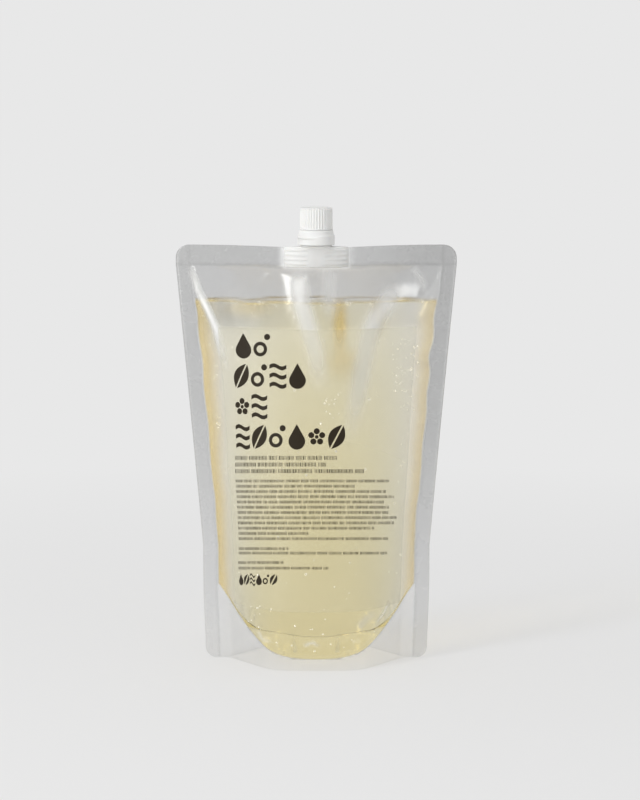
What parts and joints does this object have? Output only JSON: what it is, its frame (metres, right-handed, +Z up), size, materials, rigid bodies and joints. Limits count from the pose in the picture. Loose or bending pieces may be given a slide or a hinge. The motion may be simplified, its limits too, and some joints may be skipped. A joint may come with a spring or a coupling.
{
  "type": "hand soap refill pack",
  "caption": "Clear standing film pouch filled with liquid hand soap, with a welded white spout, a tamper band and a ribbed screw cap.",
  "frame": {"origin": "centre of the footprint, on the surface the pouch stands on", "axes": "+Z up through the spout, front label facing -Y, +X to the right of a viewer who faces the label"},
  "size_m": [0.165, 0.0804, 0.2687],
  "materials": {
    "clear_film": "clear laminated film, glossy",
    "frosted_label": "frosted clear label with dark brown print blocks",
    "soap": "clear pale yellow liquid",
    "white_plastic": "moulded white plastic, satin gloss",
    "liner_foam": "white foamed sealing disc"
  },
  "bodies": {
    "pouch": {"front_film": "clear_film", "back_film": "clear_film", "base_gusset": "clear_film", "front_label": "frosted_label", "liquid_soap": "soap", "spout": "white_plastic", "tamper_ring": "white_plastic"},
    "liner": {"cap_liner": "liner_foam"},
    "cap": {"screw_cap": "white_plastic"}
  },
  "joints": [
    {"name": "cap_rise", "type": "slide", "parent": "pouch", "child": "liner", "axis": [0, 0, 1], "range_m": [0, 0.006]},
    {"name": "cap_turn", "type": "hinge", "parent": "liner", "child": "cap", "pos_m": [0, 0, 0.2559], "axis": [0, 0, 1], "range_deg": [0, 720]}
  ],
  "couplings": [
    {"joint": "cap_turn", "follows": "cap_rise", "rad_per_m": 2094.4}
  ]
}
